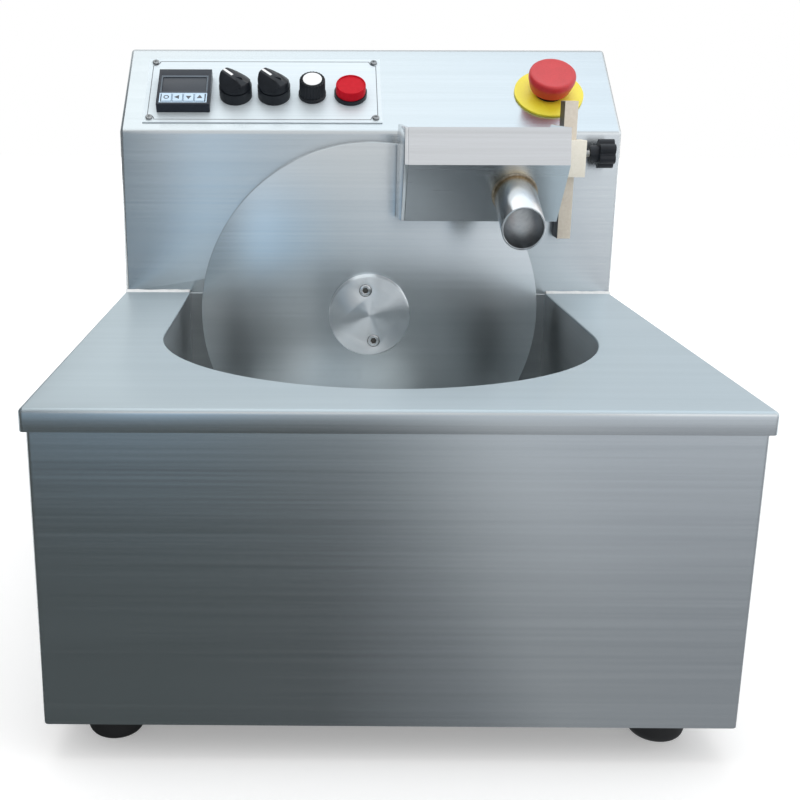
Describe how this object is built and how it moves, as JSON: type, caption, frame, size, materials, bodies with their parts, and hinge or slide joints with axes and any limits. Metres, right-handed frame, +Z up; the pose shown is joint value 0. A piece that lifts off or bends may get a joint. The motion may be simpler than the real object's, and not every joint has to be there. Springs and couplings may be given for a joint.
{
  "type": "chocolate melting tank",
  "caption": "Table-top chocolate melting tank in brushed stainless steel: turning wheel in an open tank, scraper trough with spout, sloped control panel",
  "frame": {"origin": "middle of the box on the plane the feet stand on", "axes": "X to the right seen from the front, front faces -Y, Z up"},
  "size_m": [0.43, 0.518, 0.4346],
  "materials": {
    "brushed_steel": "horizontally brushed stainless",
    "wheel_steel": "bright brushed stainless",
    "polished_steel": "polished stainless",
    "screw_steel": "plated",
    "dark_metal": "grey paint, semi-matt",
    "rubber": "black, matt",
    "sealant": "white silicone",
    "beige_plastic": "tan food-grade plastic, satin",
    "cream_plastic": "cream plastic, satin",
    "black_plastic": "black, satin",
    "silver_plate": "silver film on a thin plate",
    "window": "smoked, gloss",
    "key_blue": "pale blue film",
    "lamp_red": "red, translucent gloss",
    "stop_red": "red, gloss",
    "stop_yellow": "yellow, satin",
    "heater_orange": "silicone mat",
    "insulation": "pale fibre pad",
    "green_case": "green enamel"
  },
  "bodies": {
    "machine": {"base_wrap": "brushed_steel", "base_plate": "brushed_steel", "rear_cover": "brushed_steel", "cover_screws": "screw_steel", "deck": "brushed_steel", "deck_sealant": "sealant", "tank": "brushed_steel", "console_shell": "brushed_steel", "rubber_feet": "rubber", "foot_screws": "screw_steel", "shaft_seal": "rubber", "bearing_housing": "dark_metal", "shaft_bearing": "polished_steel", "gearbox": "dark_metal", "drive_motor": "dark_metal", "motor_bracket": "brushed_steel", "heater_mat": "heater_orange", "insulation_pad": "insulation", "temperature_probe": "polished_steel", "motor_driver": "green_case", "power_gland": "black_plastic", "scraper_post": "beige_plastic", "post_screws": "screw_steel", "control_plate": "silver_plate", "plate_screws": "screw_steel", "controller_body": "black_plastic", "controller_window": "window", "heat_switch_body": "black_plastic", "wheel_switch_body": "black_plastic", "speed_pot": "dark_metal", "lamp_body": "black_plastic", "lamp_lens": "lamp_red", "estop_ring": "stop_yellow", "estop_body": "black_plastic"},
    "wheel": {"wheel_drum": "wheel_steel", "wheel_back_plate": "wheel_steel", "hub_cap": "polished_steel", "hub_screws": "screw_steel", "wheel_shaft": "polished_steel", "shaft_coupling": "dark_metal", "gearbox_shaft": "polished_steel"},
    "scraper": {"scraper_blade": "wheel_steel", "scraper_trough": "wheel_steel", "spout_tube": "polished_steel", "clamp_block": "cream_plastic", "block_screws": "screw_steel"},
    "clamp_tip": {"clamp_pad": "sealant"},
    "clamp_screw": {"clamp_stud": "screw_steel", "clamp_knob": "black_plastic"},
    "key_1": {"controller_key_1": "key_blue"},
    "key_2": {"controller_key_2": "key_blue"},
    "key_3": {"controller_key_3": "key_blue"},
    "key_4": {"controller_key_4": "key_blue"},
    "heat_switch": {"heat_switch_lever": "black_plastic"},
    "wheel_switch": {"wheel_switch_lever": "black_plastic"},
    "speed_control": {"speed_knob": "black_plastic", "speed_knob_cap": "polished_steel"},
    "estop_stem": {"estop_plunger": "stop_red"},
    "estop_button": {"estop_head": "stop_red"}
  },
  "joints": [
    {"name": "wheel_spin", "type": "hinge", "parent": "machine", "child": "wheel", "pos_m": [0, 0.091, 0.214], "axis": [0, 1, 0], "continuous": true},
    {"name": "scraper_lift", "type": "slide", "parent": "machine", "child": "scraper", "axis": [0, 0, 1], "range_m": [0, 0.065]},
    {"name": "clamp_feed", "type": "slide", "parent": "scraper", "child": "clamp_tip", "axis": [1, 0, 0], "range_m": [0, 0.0032]},
    {"name": "clamp_turn", "type": "hinge", "parent": "clamp_tip", "child": "clamp_screw", "pos_m": [0.17455, 0.108, 0.3486], "axis": [1, 0, 0], "range_deg": [0, 1080]},
    {"name": "key_1_press", "type": "slide", "parent": "machine", "child": "key_1", "axis": [0, 0.6347, -0.7727], "range_m": [0, 0.0005], "stiffness_N_per_m": 300},
    {"name": "key_2_press", "type": "slide", "parent": "machine", "child": "key_2", "axis": [0, 0.6347, -0.7727], "range_m": [0, 0.0005], "stiffness_N_per_m": 300},
    {"name": "key_3_press", "type": "slide", "parent": "machine", "child": "key_3", "axis": [0, 0.6347, -0.7727], "range_m": [0, 0.0005], "stiffness_N_per_m": 300},
    {"name": "key_4_press", "type": "slide", "parent": "machine", "child": "key_4", "axis": [0, 0.6347, -0.7727], "range_m": [0, 0.0005], "stiffness_N_per_m": 300},
    {"name": "heat_switch_turn", "type": "hinge", "parent": "machine", "child": "heat_switch", "pos_m": [-0.1165, 0.1526, 0.39843], "axis": [0, 0.6347, -0.7727], "range_deg": [0, 90]},
    {"name": "wheel_switch_turn", "type": "hinge", "parent": "machine", "child": "wheel_switch", "pos_m": [-0.0831, 0.1526, 0.39843], "axis": [0, 0.6347, -0.7727], "range_deg": [0, 90]},
    {"name": "speed_turn", "type": "hinge", "parent": "machine", "child": "speed_control", "pos_m": [-0.0497, 0.1526, 0.39843], "axis": [0, 0.6347, -0.7727], "range_deg": [-135, 135]},
    {"name": "estop_push", "type": "slide", "parent": "machine", "child": "estop_stem", "axis": [0, 0.6347, -0.7727], "range_m": [0, 0.004], "stiffness_N_per_m": 500},
    {"name": "estop_twist", "type": "hinge", "parent": "estop_stem", "child": "estop_button", "pos_m": [0.157, 0.15174, 0.40419], "axis": [0, 0.6347, -0.7727], "range_deg": [0, 45], "stiffness_Nm_per_rad": 0.05}
  ],
  "couplings": [
    {"joint": "clamp_feed", "follows": "clamp_turn", "m_per_rad": 0.00015915}
  ]
}
